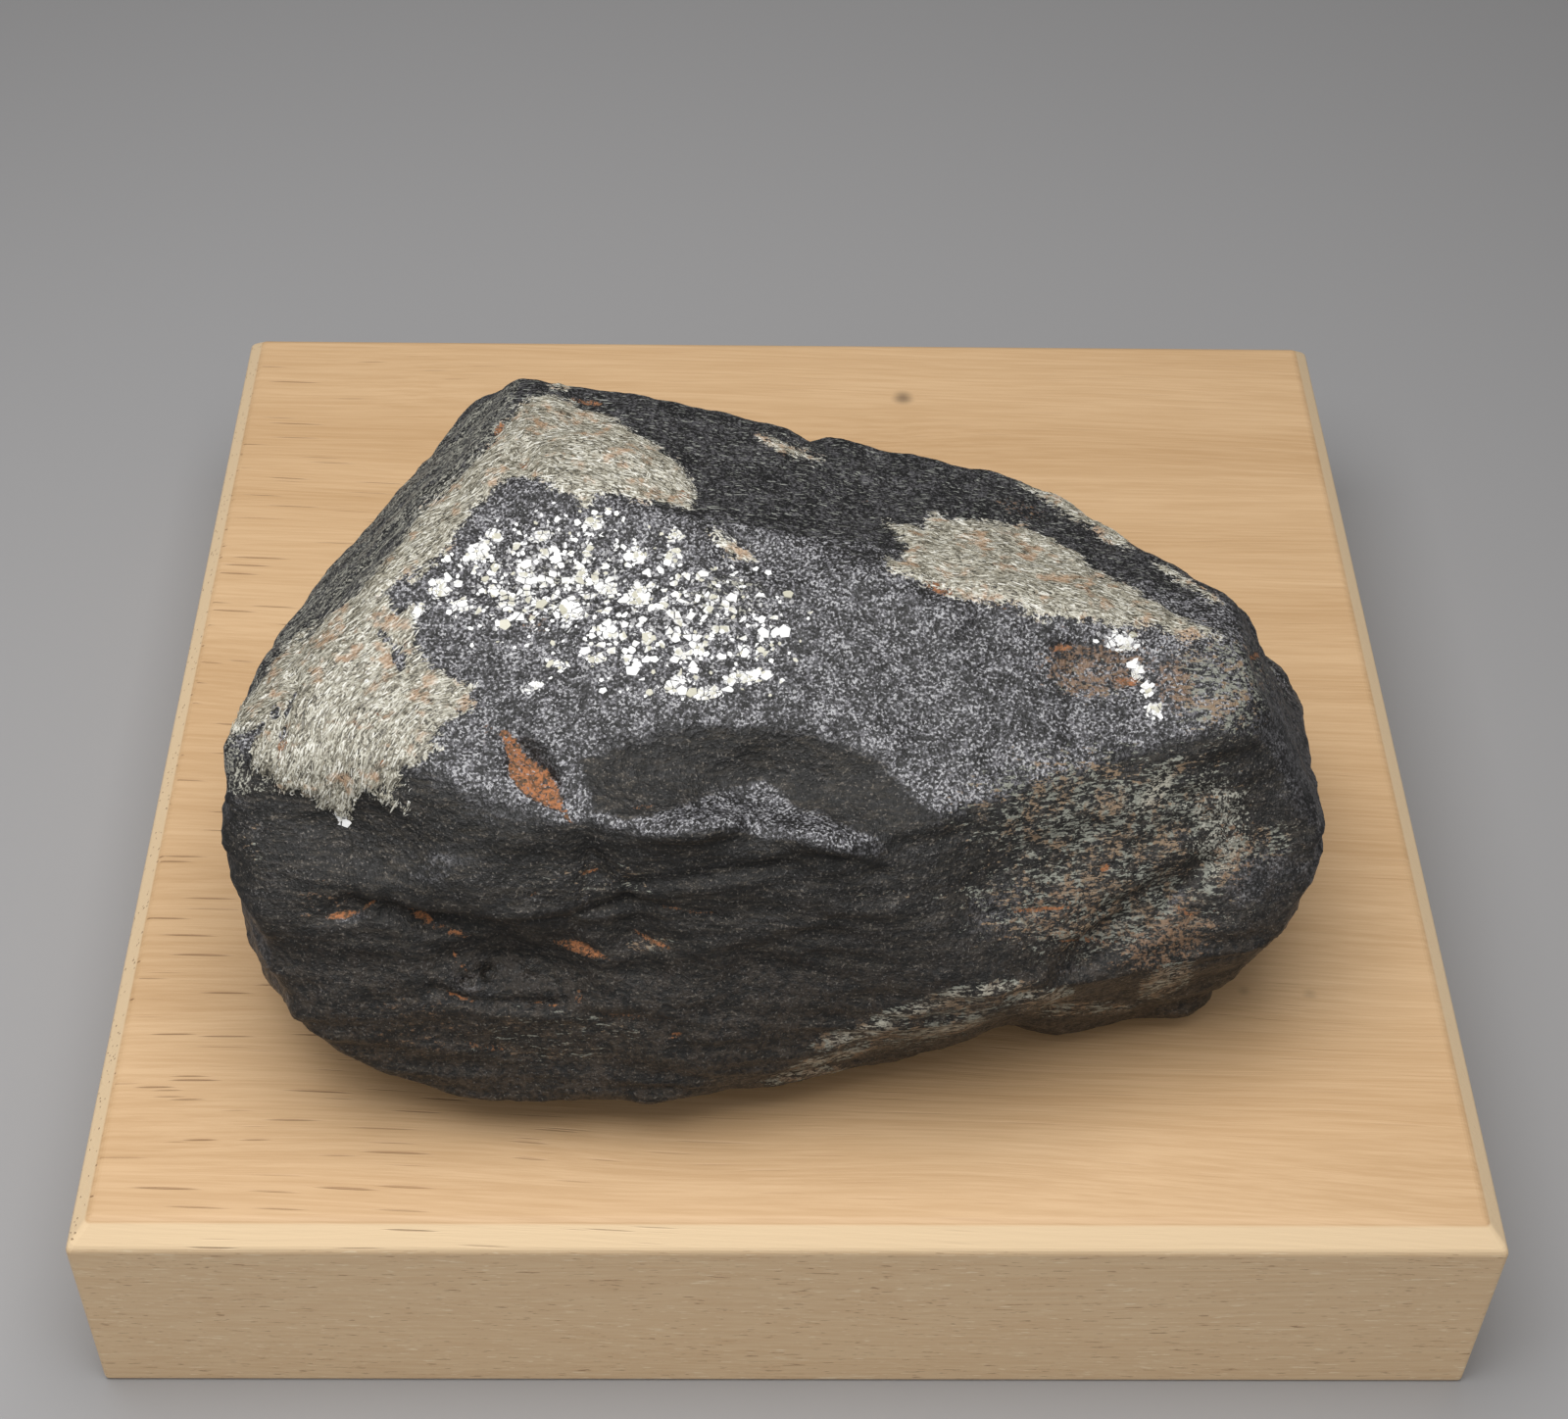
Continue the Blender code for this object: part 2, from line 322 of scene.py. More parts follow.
# Hollows and ledges, darkened with painted shade and kept free of the painted sheen
SHADED_DULL_SPOTS = (
    Patch(
        (
            (580, 770), (640, 750), (720, 746), (800, 740), (860, 750), (905, 772), (935, 800),
            (965, 830), (1000, 870), (1000, 960), (900, 1010), (640, 950), (590, 905), (600, 868),
            (700, 858), (760, 846), (830, 872), (890, 890), (905, 872), (860, 852), (800, 826),
            (780, 806), (740, 815), (690, 835), (640, 846), (600, 835),
        ),
        1.0,
        1.6,
    ),
    *spots(
        (310, 875, 170, 75, 0, 1.2), (480, 856, 130, 22, 0, 0.9), (540, 990, 90, 50, 0, 0.8),
        (1140, 950, 170, 70, -40),
    ),
)

# Small bright pits in the recess low on the front
SHINY_PITS = spots(
    (500, 988, 18, 16), (540, 990, 22, 14, -8), (478, 1000, 14, 10, 0, 0.8),
    (570, 1000, 14, 8, 10, 0.8),
)

# White mica flakes
FLAKE_CLUSTERS = (
    # Thick clusters, from the left shoulder rightward
    *spots(
        (485, 566, 22, 15, 30, 0.94), (503, 545, 14, 11, 0, 0.86), (452, 600, 18, 14, 30, 0.87),
        (470, 618, 20, 10, 10, 0.86), (425, 625, 16, 10, 50, 0.9), (505, 602, 12, 9, 0, 0.9),
        (552, 548, 16, 13, 0, 0.95), (606, 535, 16, 12, 0, 0.94), (650, 568, 18, 13, 10, 0.94),
        (686, 570, 13, 13, 0, 0.94), (688, 546, 10, 8, 0, 0.86), (616, 598, 24, 10, -35, 0.94),
        (652, 608, 20, 17, 0, 1.01), (580, 622, 18, 16, 0, 0.95), (620, 646, 18, 14, 0, 0.94),
        (608, 672, 14, 9, 0, 0.86), (545, 700, 20, 9, 20, 0.8), (570, 680, 16, 8, 0, 0.8),
        (690, 698, 22, 12, 8, 0.8), (724, 706, 18, 10, 0, 0.84), (760, 690, 36, 10, 10, 0.9),
    ),
    # A thin scatter between them
    *spots((700, 640, 150, 95, 0, 0.34), (560, 590, 140, 85, 10, 0.38)),
    # The trail under the right sheet
    *spots(
        (1145, 655, 34, 14, -12, 0.87), (1160, 684, 9, 16, 0, 0.95), (1172, 704, 8, 14, 0, 0.87),
        (1178, 724, 9, 12, 0, 0.87),
    ),
    # Two bits at the edges of the left sheet
    *spots((347, 832, 11, 7, -55, 0.94), (383, 690, 24, 8, 10, 0.7)),
)

SEAMS = {
    "under_lens": Seam(((392, 930), (433, 946), (509, 952), (579, 942), (640, 920)), 0.45, 0.8),
    "recess_floor": Seam(((440, 1010), (500, 1024), (575, 1024)), 0.35, 0.5),
    "crease": Seam(((1230, 885), (1170, 950), (1085, 1000)), 0.6, 0.7),
    "sheet_slit": Seam(((300, 692), (293, 715), (289, 742)), 0.3, 0.6),
    "strip_edge": Seam(((523, 428), (428, 521), (368, 587), (300, 662)), 0.4, 0.45),
    "fold_under_ribs": Seam(((640, 905), (740, 893), (830, 880), (900, 890)), 0.4, 0.4),
    "apex_pit": Seam(((532, 466), (534, 476)), 0.7, 0.7),
    "right_crack": Seam(((1055, 640), (1020, 660), (1004, 676)), 0.35, 0.4),
}

# The stand's height and chamfer in millimetres
STAND_TOP = 19.0
CHAMFER = 1.6

# A knot and two smudges on the stand: place across and deep, radius in millimetres, and strength
WOOD_SPOTS = ((11.4, 41.5, 1.3, 0.75), (34.5, -28.6, 0.7, 0.3), (39.5, -28.9, 0.7, 0.25))

# In metres: how far the floor reaches, how far below the stand it lies, and the lamp's place and size
FLOOR_REACH = 6.0
FLOOR_DROP = 0.05 * MM
LAMP_PLACE = (-0.035, -0.045, 0.24)
LAMP_SIZE = (0.22, 0.20)


def millimetres(label, note, value, low, high):
    """A length property, shown and given in millimetres."""
    given = {"name": label, "description": note, "default": value}
    return FloatProperty(**given, min=low, max=high, precision=3)


def number(label, note, value, high, unit="NONE"):
    return FloatProperty(name=label, description=note, default=value, min=0.0, max=high, unit=unit)


def colour(label, subject, value):
    given = {"name": label, "description": "Colour of " + subject, "default": value}
    return FloatVectorProperty(**given, size=3, min=0.0, max=1.0, subtype="COLOR")


class StoneSettings(bpy.types.PropertyGroup):
    """Sizes of the stone's relief, and colours of its dark ore, its painted sheen and glints, and its
    hollows darkened with painted shade.
    """

    mesh_step: millimetres("Mesh step", "Size of the faces that carry the relief", 0.37, 0.2, 3.0)
    facet_wear: IntProperty(
        name="Facet wear", description="Smoothing passes over the facets", default=9, min=0, max=40
    )
    grain_height: millimetres("Grain height", "Height of the ore's coarse grains", 0.10, 0.0, 1.0)
    layer_height: millimetres("Layer height", "Height of the rock's fine level layers", 0.16, 0.0, 1.0)
    crease_height: millimetres("Crease height", "Depth of creases on steep faces", 0.7, 0.0, 3.0)
    lump_height: millimetres("Lump height", "Height of low lumps all over the stone", 0.2, 0.0, 2.0)
    dark_ore: colour("Dark ore", "the bare ore in its hollows", (0.009, 0.0085, 0.008))
    # Grey grains, crowded onto the faces turned up as a painted sheen
    grey_grain_and_sheen: colour("Grey ore", "the ore's violet-grey grains", (0.16, 0.156, 0.17))
    # Bright specks, partly painted glints
    speck_and_glint: colour("Silver speck", "the fine bright specks", (0.57, 0.57, 0.585))
    # Blotches, partly painted shade away from the painted sheen
    black: colour("Blotch", "the near-black blotches", (0.004, 0.004, 0.0045))
    # Painted glints: the small pale dots
    dot: colour("Pale dot", "the small pale dots", (0.17, 0.165, 0.16))
    # Painted shade: the colours of the darkened hollows
    dark_earth_shade: colour("Dark hollow", "the dull hollows", (0.005, 0.0045, 0.0035))
    light_earth_shade: colour("Light hollow", "the hollows' long streaks", (0.030, 0.0255, 0.0195))
    crumb: colour("Crumb", "the crumbs in the hollows", (0.135, 0.112, 0.085))


class MarkSettings(bpy.types.PropertyGroup):
    """Colours of the stains, the flecks and the rust on the stone."""

    pale_dash: colour("Pale dash", "the dashes on the back faces", (0.31, 0.32, 0.285))
    green_fleck: colour("Green fleck", "the greenish flecks", (0.245, 0.25, 0.21))
    tan_fleck: colour("Tan fleck", "the brownish flecks", (0.25, 0.175, 0.11))
    bright_fleck: colour("Bright fleck", "the thickest streaks", (0.47, 0.44, 0.36))
    thin_film: colour("Thin film", "the film between its strands", (0.16, 0.16, 0.135))
    thick_film: colour("Thick film", "the film's strands", (0.40, 0.39, 0.33))
    low_dust: colour("Low dust", "the dust low on the stone", (0.065, 0.046, 0.030))
    brown: colour("Brown stain", "the iron stain", (0.115, 0.066, 0.036))
    tan: colour("Tan stain", "the stain's lighter grains", (0.23, 0.135, 0.075))
    rust: colour("Rust", "the earthy rust in cracks", (0.42, 0.165, 0.065))


class MicaSettings(bpy.types.PropertyGroup):
    """Sizes and colours of the fibrous mica sheets."""

    longest: millimetres("Longest fibre", "Length of the longest fibres", 1.3, 0.2, 8.0)
    shortest: millimetres("Shortest fibre", "Length of the shortest fibres", 0.35, 0.1, 8.0)
    width: millimetres("Fibre width", "Mean width of a fibre", 0.10, 0.02, 1.0)
    crowding: number("Crowding", "Fibres on a square millimetre", 13.0, 30.0)
    gap: colour("Gap", "the gaps between the fibres", (0.075, 0.068, 0.052))
    body: colour("Body", "most fibres", (0.30, 0.275, 0.21))
    pale: colour("Pale", "the lighter fibres", (0.52, 0.50, 0.415))
    silk: colour("Silk", "the whitest fibres", (0.80, 0.79, 0.735))
    stained: colour("Stained", "fibres with an iron stain", (0.46, 0.28, 0.16))


class FlakeSettings(bpy.types.PropertyGroup):
    """Sizes and colours of the loose white mica flakes."""

    largest: millimetres("Largest flake", "Radius of the largest flakes", 0.52, 0.05, 3.0)
    smallest: millimetres("Smallest flake", "Radius of the smallest flakes", 0.14, 0.02, 3.0)
    crowding: number("Crowding", "Flakes on a square millimetre, at most", 3.0, 30.0)
    white: colour("White", "the flakes", (0.86, 0.86, 0.85))
    tan: colour("Tan", "the duller flakes", (0.52, 0.50, 0.40))
    grey: colour("Grey", "the greyer small grains", (0.30, 0.295, 0.30))


class StandSettings(bpy.types.PropertyGroup):
    """Sizes and colours of the wooden stand."""

    edge_radius: millimetres("Eased edge", "Radius of the sanded edges", 0.35, 0.0, 2.0)
    light_wood: colour("Light wood", "the lighter grain", (0.70, 0.475, 0.27))
    dark_wood: colour("Dark wood", "the darker grain", (0.55, 0.345, 0.175))
    edge_wood: colour("Edge wood", "the eased edges", (0.83, 0.625, 0.39))
    light_dash: colour("Light dash", "the sawn sides' light dashes", (0.92, 0.75, 0.52))
    pore: colour("Pore", "the open pores", (0.27, 0.13, 0.06))
    smudge: colour("Smudge", "the knot and the smudges", (0.16, 0.11, 0.07))


class StageSettings(bpy.types.PropertyGroup):
    """The floor, the light and the surround."""

    floor: colour("Floor", "the floor", (0.36, 0.356, 0.36))
    surround_colour: colour("Surround colour", "the surround", (1.0, 0.99, 0.98))
    lamp_power: number("Lamp", "Power of the soft lamp overhead", 0.59, 1000.0, "POWER")
    surround: number("Surround", "Brightness of the surround in front", 0.5, 1000.0)
    shade: number("Shade", "Share of that brightness behind the specimen", 0.12, 1.0)


class SpecimenSettings(bpy.types.PropertyGroup):
    """All settings of the specimen."""

    stone: PointerProperty(type=StoneSettings)
    marks: PointerProperty(type=MarkSettings)
    mica: PointerProperty(type=MicaSettings)
    flakes: PointerProperty(type=FlakeSettings)
    stand: PointerProperty(type=StandSettings)
    stage: PointerProperty(type=StageSettings)


class Net:
    """Builds a node tree: each call adds one node and gives back one of its outputs."""

    def __init__(self, tree):
        self.tree = tree

    def add(self, kind, inputs=None, output=0, **settings):
        node = self.tree.nodes.new(kind)
        for name, value in settings.items():
            setattr(node, name, value)
        for key, value in (inputs or {}).items():
            if isinstance(value, Socket):
                self.link(value, node.inputs[key])
            else:
                node.inputs[key].default_value = value
        return node.outputs[output]

    def link(self, value, socket):
        self.tree.links.new(value, socket)

    def math(self, operation, first, second):
        return self.add("ShaderNodeMath", {0: first, 1: second}, operation=operation)

    def times(self, first, *others):
        """The product of two or more values."""
        for other in others:
            first = self.math("MULTIPLY", first, other)
        return first

    def vector(self, operation, first, second):
        return self.add("ShaderNodeVectorMath", {0: first, 1: second}, operation=operation)

    def scaled(self, vector, factors):
        """The vector with each of its axes scaled by its own factor."""
        return self.vector("MULTIPLY", vector, factors)

    def fade(self, value, start, end, low=0.0, high=1.0):
        """Goes smoothly from low to high as value goes from start to end."""
        inputs = {"Value": value, "From Min": start, "From Max": end, "To Min": low, "To Max": high}
        return self.add("ShaderNodeMapRange", inputs, interpolation_type="SMOOTHSTEP")

    def mix(self, factor, first, second):
        """Colours first and second, each a socket or a setting, mixed by factor."""
        inputs = {0: factor, 6: opaque(first), 7: opaque(second)}
        return self.add("ShaderNodeMix", inputs, output=2, data_type="RGBA")

    def noise(self, vector, scale, detail=2.0, roughness=0.55, distortion=0.0):
        inputs = {"Vector": vector, "Scale": scale, "Detail": detail, "Roughness": roughness}
        return self.add("ShaderNodeTexNoise", {**inputs, "Distortion": distortion})

    def cells(self, vector, scale, output="Distance"):
        return self.add("ShaderNodeTexVoronoi", {"Vector": vector, "Scale": scale}, output=output)

    def ramp(self, value, stops):
        """A colour ramp through (position, colour) stops."""
        output = self.add("ShaderNodeValToRGB", {0: value})
        ramp = output.node.color_ramp
        for position, _ in stops[1:-1]:
            ramp.elements.new(position)
        for element, (position, stop) in zip(ramp.elements, stops):
            element.position = position
            element.color = opaque(stop)
        return output

    def blend(self, *parts):
        """The weighted sum of (value, weight) parts."""
        total = self.math("MULTIPLY", *parts[0])
        for value, weight in parts[1:]:
            inputs = {0: value, 1: weight, 2: total}
            total = self.add("ShaderNodeMath", inputs, operation="MULTIPLY_ADD")
        return total

    def blotches(self, weight, grain, bare, full, soft):
        """Ragged blotches of a noise, none of them where weight is 0 and crowded where it is 1."""
        edge = self.fade(weight, 0.0, 1.0, bare, full)
        return self.fade(self.math("SUBTRACT", grain, edge), 0.0, soft)

    def grains(self, place, weight, scale):
        """Angular grains with dark joints; more of the cells show where weight is higher."""
        shown = self.math("GREATER_THAN", weight, self.cells(place, scale, "Color"))
        inputs = {"Vector": place, "Scale": scale}
        joint = self.add("ShaderNodeTexVoronoi", inputs, feature="DISTANCE_TO_EDGE")
        return self.times(shown, self.fade(joint, 0.03, 0.10))

    def attribute(self, name, output="Fac"):
        return self.add("ShaderNodeAttribute", output=output, attribute_name=name)

    def named(self, name, kind="FLOAT"):
        """In Geometry Nodes, an attribute that the mesh already has."""
        return self.add("GeometryNodeInputNamedAttribute", {0: name}, data_type=kind)

    def random(self, low, high, seed):
        """A random number between low and high for each instance or point."""
        inputs = {2: low, 3: high, 8: seed}
        return self.add("FunctionNodeRandomValue", inputs, output=1, data_type="FLOAT")


def opaque(colour):
    """The colour with full alpha; a socket stays as it is."""
    return colour if isinstance(colour, Socket) else (*colour[:3], 1.0)


def new_material(name):
    """A material with its Net, its shader node and the surface's place in millimetres."""
    material = bpy.data.materials.new(name)
    material.use_nodes = True
    net = Net(material.node_tree)
    shader = material.node_tree.nodes["Principled BSDF"]
    place = net.scaled(net.add("ShaderNodeTexCoord", output="Object"), (1 / MM,) * 3)
    return material, net, shader, place


def lift(net, shader, height):
    """Gives the shader a bump whose height is in millimetres."""
    bump = net.add("ShaderNodeBump", {"Height": height, "Distance": MM, "Strength": 1.0})
    net.link(bump, shader.inputs["Normal"])


def unit(vectors):
    return vectors / np.maximum(np.linalg.norm(vectors, axis=1), 1e-9)[:, None]


def smoothstep(values, start, end):
    share = np.clip((values - start) / (end - start), 0.0, 1.0)
    return share * share * (3 - 2 * share)


def camera_turn():
    return Euler([math.radians(angle) for angle in CAMERA_TURN]).to_matrix()


class Flat(NamedTuple):
    """The stone's points as one view shows them."""

    at: np.ndarray
    facing: np.ndarray
    millimetre: np.ndarray
    across: np.ndarray
    down: np.ndarray


class Surface:
    """The stone's points and normals in millimetres, as every view shows them."""

    SIDES = {
        "back": ((1, 0, 0), (0, 0, 1), (0, 1, 0)),
        "left": ((0, 1, 0), (0, 0, 1), (-1, 0, 0)),
        "right": ((0, 1, 0), (0, 0, 1), (1, 0, 0)),
    }

    def __init__(self, mesh):
        count = len(mesh.vertices)
        place, normal = np.empty(3 * count), np.empty(3 * count)
        mesh.vertices.foreach_get("co", place)
        mesh.vertex_normals.foreach_get("vector", normal)
        self.place = place.reshape(-1, 3) / MM
        self.normal = unit(normal.reshape(-1, 3))
        self.views = {"photo": self.in_photo()}
        for name, (across, down, outward) in self.SIDES.items():
            across, down = np.array(across, float), np.array(down, float)
            at = np.stack((self.place @ across, self.place @ down), 1)
            facing = self.normal @ np.array(outward, float)
            self.views[name] = Flat(at, facing, np.ones(count), across, down)

    def in_photo(self):
        turn = np.array(camera_turn())
        offset = self.place - np.array(CAMERA_PLACE)
        depth = -(offset @ turn[:, 2])
        at = np.stack(
            (
                PHOTO_WIDTH / 2 + FOCAL_PIXELS * (offset @ turn[:, 0]) / depth,
                PHOTO_HEIGHT / 2 - FOCAL_PIXELS * (offset @ turn[:, 1]) / depth,
            ),
            1,
        )
        facing = -(unit(offset) * self.normal).sum(1)
        return Flat(at, facing, depth / FOCAL_PIXELS, turn[:, 0], -turn[:, 1])


def inside_by(flat, outline):
    """How far inside a closed outline each point lies; below zero outside it."""
    corners = np.array(outline, float)
    nearest = np.full(len(flat), np.inf)
    inside = np.zeros(len(flat), bool)
    for start, end in zip(corners, np.roll(corners, -1, 0)):
        side = end - start
        nearest = np.minimum(nearest, distance_to(flat, start, end))
        rises = (start[1] > flat[:, 1]) != (end[1] > flat[:, 1])
        crossing = start[0] + (flat[:, 1] - start[1]) / (side[1] or 1e-9) * side[0]
        inside ^= rises & (flat[:, 0] < crossing)
    return np.where(inside, nearest, -nearest)


def distance_to(flat, start, end):
    """Distance of each point from the stretch between two points."""
    side = end - start
    offset = flat - start
    share = np.clip(offset @ side / (side @ side), 0, 1)
    return np.linalg.norm(offset - share[:, None] * side, axis=1)


def turned_away(facing):
    """How far a sheet's edge draws back, in millimetres, where the surface turns from its view."""
    return 14 * np.maximum(0, 0.02 - facing)


def marking(surface, marks):
    """Strongest of the marks at each point: full inside a patch or in the middle of a spot."""
    weight = np.zeros(len(surface.place))
    for mark in marks:
        view = surface.views[mark.view]
        if isinstance(mark, Patch):
            inner = smoothstep(inside_by(view.at, mark.outline) * view.millimetre, 0.0, mark.soft)
        else:
            offset = view.at - (mark.across, mark.down)
            turn = math.radians(-mark.turn)
            along = (offset[:, 0] * math.cos(turn) + offset[:, 1] * math.sin(turn)) / mark.half_length
            aside = (offset[:, 1] * math.cos(turn) - offset[:, 0] * math.sin(turn)) / mark.half_width
            inner = np.clip(1.4 - 1.4 * np.sqrt(along**2 + aside**2), 0, 1)
        weight = np.maximum(weight, mark.strength * inner * smoothstep(view.facing, -0.25, 0.05))
    return weight


def seam_depth(surface, seams):
    """How deep the seams are at each point, in millimetres."""
    depth = np.zeros(len(surface.place))
    view = surface.views["photo"]
    for seam in seams.values():
        line = np.array(seam.line, float)
        away = np.full(len(depth), np.inf)
        for start, end in zip(line, line[1:]):
            away = np.minimum(away, distance_to(view.at, start, end) * view.millimetre)
        near = 1.0 - smoothstep(away, 0.0, 2.2 * seam.half_width)
        depth = np.maximum(depth, seam.depth * near * (view.facing > 0))
    return depth


def lay_mica(surface):
    """Depth inside the nearest mica sheet, its rise, its fibres' direction and place along them."""
    count = len(surface.place)
    depth, rise = np.full(count, -6.0), np.zeros(count)
    fibre, flow = np.tile((1.0, 0.0, 0.0), (count, 1)), surface.place.copy()
    view = surface.views["photo"]
    for sheet in MICA_SHEETS.values():
        inner = inside_by(view.at, sheet.outline) * view.millimetre - turned_away(view.facing)
        towards = np.zeros((count, 2))
        for x0, y0, x1, y1 in sheet.strokes:
            stroke = np.array((x1 - x0, y1 - y0), float)
            away = np.linalg.norm(view.at - ((x0 + x1) / 2, (y0 + y1) / 2), axis=1) * view.millimetre
            towards += stroke / np.linalg.norm(stroke) / (away[:, None] ** 2 + 1.0)
        along = towards[:, :1] * view.across + towards[:, 1:] * view.down
        along = unit(along - surface.normal * (along * surface.normal).sum(1)[:, None])
        aside = np.cross(surface.normal, along)
        offset = surface.place - surface.place[inner > 0].mean(0)
        wins = inner > depth
        flow[wins] = np.stack(
            ((offset * along).sum(1), (offset * aside).sum(1), (offset * surface.normal).sum(1)), 1
        )[wins]
        depth[wins], rise[wins], fibre[wins] = inner[wins], sheet.rise, along[wins]
    holes = marking(surface, ISLANDS)
    return np.where(holes > 0, np.minimum(depth, -2.5 * holes), depth), rise, fibre, flow


def ripple(places, sizes, seed):
    """Perlin noise at each place, with its grain stretched to sizes in millimetres."""
    shift = Vector((seed * 7.3, seed * 3.1, seed * 5.9))
    scaled = places / np.array(sizes, float)
    return np.array([noise.noise(Vector(place) + shift) for place in scaled])


def copied_node(node):
    """A copy of a CAD node's mesh with its loose triangles merged."""
    bm = bmesh.new()
    bm.from_mesh(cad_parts[node].data)
    bmesh.ops.remove_doubles(bm, verts=bm.verts, dist=MERGE_DISTANCE)
    return bm


def add_piece(name, mesh, material):
    """Links a finished mesh at the origin, with one material."""
    mesh.materials.clear()
    mesh.materials.append(material)
    obj = bpy.data.objects.new(name, mesh)
    bpy.context.scene.collection.objects.link(obj)
    return obj


def evaluated_mesh(obj):
    """The object's mesh with its modifiers applied; the object is removed."""
    graph = bpy.context.evaluated_depsgraph_get()
    mesh = bpy.data.meshes.new_from_object(
        obj.evaluated_get(graph), preserve_all_data_layers=True, depsgraph=graph
    )
    bpy.data.objects.remove(obj, do_unlink=True)
    return mesh


def dense_stone(settings):
    """The stone's CAD form as an even, fine mesh with its facets worn smooth."""
    bm = copied_node("struverite_stone")
    mesh = bpy.data.meshes.new("dense_stone")
    bm.to_mesh(mesh)
    bm.free()
    helper = bpy.data.objects.new("dense_stone", mesh)
    bpy.context.scene.collection.objects.link(helper)
    remesh = helper.modifiers.new("fine_mesh", "REMESH")
    remesh.mode = "VOXEL"
    remesh.voxel_size = settings.mesh_step * MM
    wear = helper.modifiers.new("facet_wear", "SMOOTH")
    wear.factor = 0.5
    wear.iterations = settings.facet_wear
    return evaluated_mesh(helper)


def mark_stone(mesh, settings):
    """Stores the markings on the mesh, then raises its relief."""
    surface = Surface(mesh)
    mica, rise, fibre, flow = lay_mica(surface)
    rust = marking(surface, RUST_SPOTS)
    pits = marking(surface, SHINY_PITS)
    steep = 1.0 - np.abs(surface.normal[:, 2])
    backward = smoothstep(surface.normal[:, 1], 0.02, 0.14)
    backward *= smoothstep(surface.place[:, 1], -18, -9)
    # Painted sheen: the faces turned up get more grey grains and bright specks in their colour, as if
    # lit from above
    painted_sheen = smoothstep(surface.normal[:, 2], 0.72, 0.92) * (1 - backward)
    # Painted shade: hollows, ledges and faces turned to the front are darkened and lose the painted
    # sheen
    dull_and_shaded = np.clip(marking(surface, SHADED_DULL_SPOTS), 0, 1)
    painted_sheen *= 1 - dull_and_shaded
    dull_and_shaded = np.maximum(dull_and_shaded, 0.7 * smoothstep(-surface.normal[:, 1], 0.5, 0.8))

    ragged = mica + 0.45 * ripple(flow, (2.4, 0.5, 2.0), 1) + 0.25 * ripple(flow, (1.0, 0.4, 1.0), 2)
    cover = smoothstep(ragged, -0.1, 0.45)
    relief = settings.grain_height * ripple(surface.place, (1.5, 1.5, 1.5), 3)
    relief += 0.6 * settings.grain_height * ripple(surface.place, (0.75, 0.75, 0.75), 4)
    relief += settings.layer_height * steep * ripple(surface.place, (6.0, 6.0, 1.0), 5)
    relief -= settings.crease_height * steep * np.abs(ripple(surface.place, (7.0, 5.0, 1.7), 9))
    relief += settings.lump_height * ripple(surface.place, (3.2, 3.2, 2.4), 10)
    swell = rise + 0.16 * ripple(flow, (3.2, 0.75, 3.0), 6)
    swell += 0.1 * ripple(flow, (1.6, 1.0, 1.5), 7)
    relief += cover * swell
    crumb = ripple(surface.place, (0.9, 0.9, 0.9), 8)
    relief -= np.clip(rust, 0, 1) * (0.25 + 0.3 * crumb) * (1 - cover)
    relief -= pits * (0.3 + 0.9 * crumb)
    relief -= seam_depth(surface, SEAMS)
    raised = (surface.place + surface.normal * relief[:, None]) * MM
    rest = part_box("struverite_stone")[0].z
    raised[:, 2] = np.maximum(raised[:, 2], rest)
    mesh.vertices.foreach_set("co", raised.ravel())

    stored = {
        "mica": np.clip(ragged, -3, 3),
        "mica_cover": cover,
        "fibre": fibre,
        "flow": flow,
        "rust": rust,
        "stain": marking(surface, STAIN_SPOTS),
        "fleck": marking(surface, FLECK_SPOTS),
        "film": marking(surface, FILM_SPOTS),
        "pit": pits,
        "dull_and_shaded": dull_and_shaded,
        "sheen": painted_sheen,
        "dash": backward,
        "flakes": marking(surface, FLAKE_CLUSTERS),
    }
    for name, values in stored.items():
        kind, field = ("FLOAT_VECTOR", "vector") if values.ndim == 2 else ("FLOAT", "value")
        layer = mesh.attributes.new(name, kind, "POINT")
        layer.data.foreach_set(field, values.astype(np.float32).ravel())
    mesh.shade_smooth()
    mesh.update()


class Grit(NamedTuple):
    """The noises that the parts of the stone's finish share."""

    place: Socket
    dust: Socket
    fine: Socket
    grain: Socket
    strands: Socket
    bundles: Socket
    wisps: Socket
    layered: Socket


def stone_grit(net, place):
    """Noises from dust to long wisps; strands and bundles run along the stored flow, a bit wavy."""
    given = {"Vector": place, "Scale": 0.9, "Detail": 2.0}
    wander = net.scaled(net.add("ShaderNodeTexNoise", given, output="Color"), (1.6, 1.6, 1.6))
    wavy = net.vector("ADD", net.attribute("flow", "Vector"), wander)
    return Grit(
        place=place,
        dust=net.noise(place, 5.0, 2.0, 0.6),
        fine=net.noise(place, 2.3, 3.0, 0.65),
        grain=net.noise(place, 0.7, 3.0, 0.6),
        strands=net.noise(net.scaled(wavy, (1.3, 6.5, 2.0)), 1.0, 3.0, 0.7),
        bundles=net.noise(net.scaled(wavy, (0.22, 1.5, 1.0)), 1.0, 2.0, 0.6),
        wisps=net.noise(net.scaled(place, (0.5, 1.6, 3.2)), 1.0, 4.0, 0.7),
        layered=net.noise(net.scaled(place, (0.9, 1.5, 2.1)), 2.2, 3.0, 0.62, 0.8),
    )


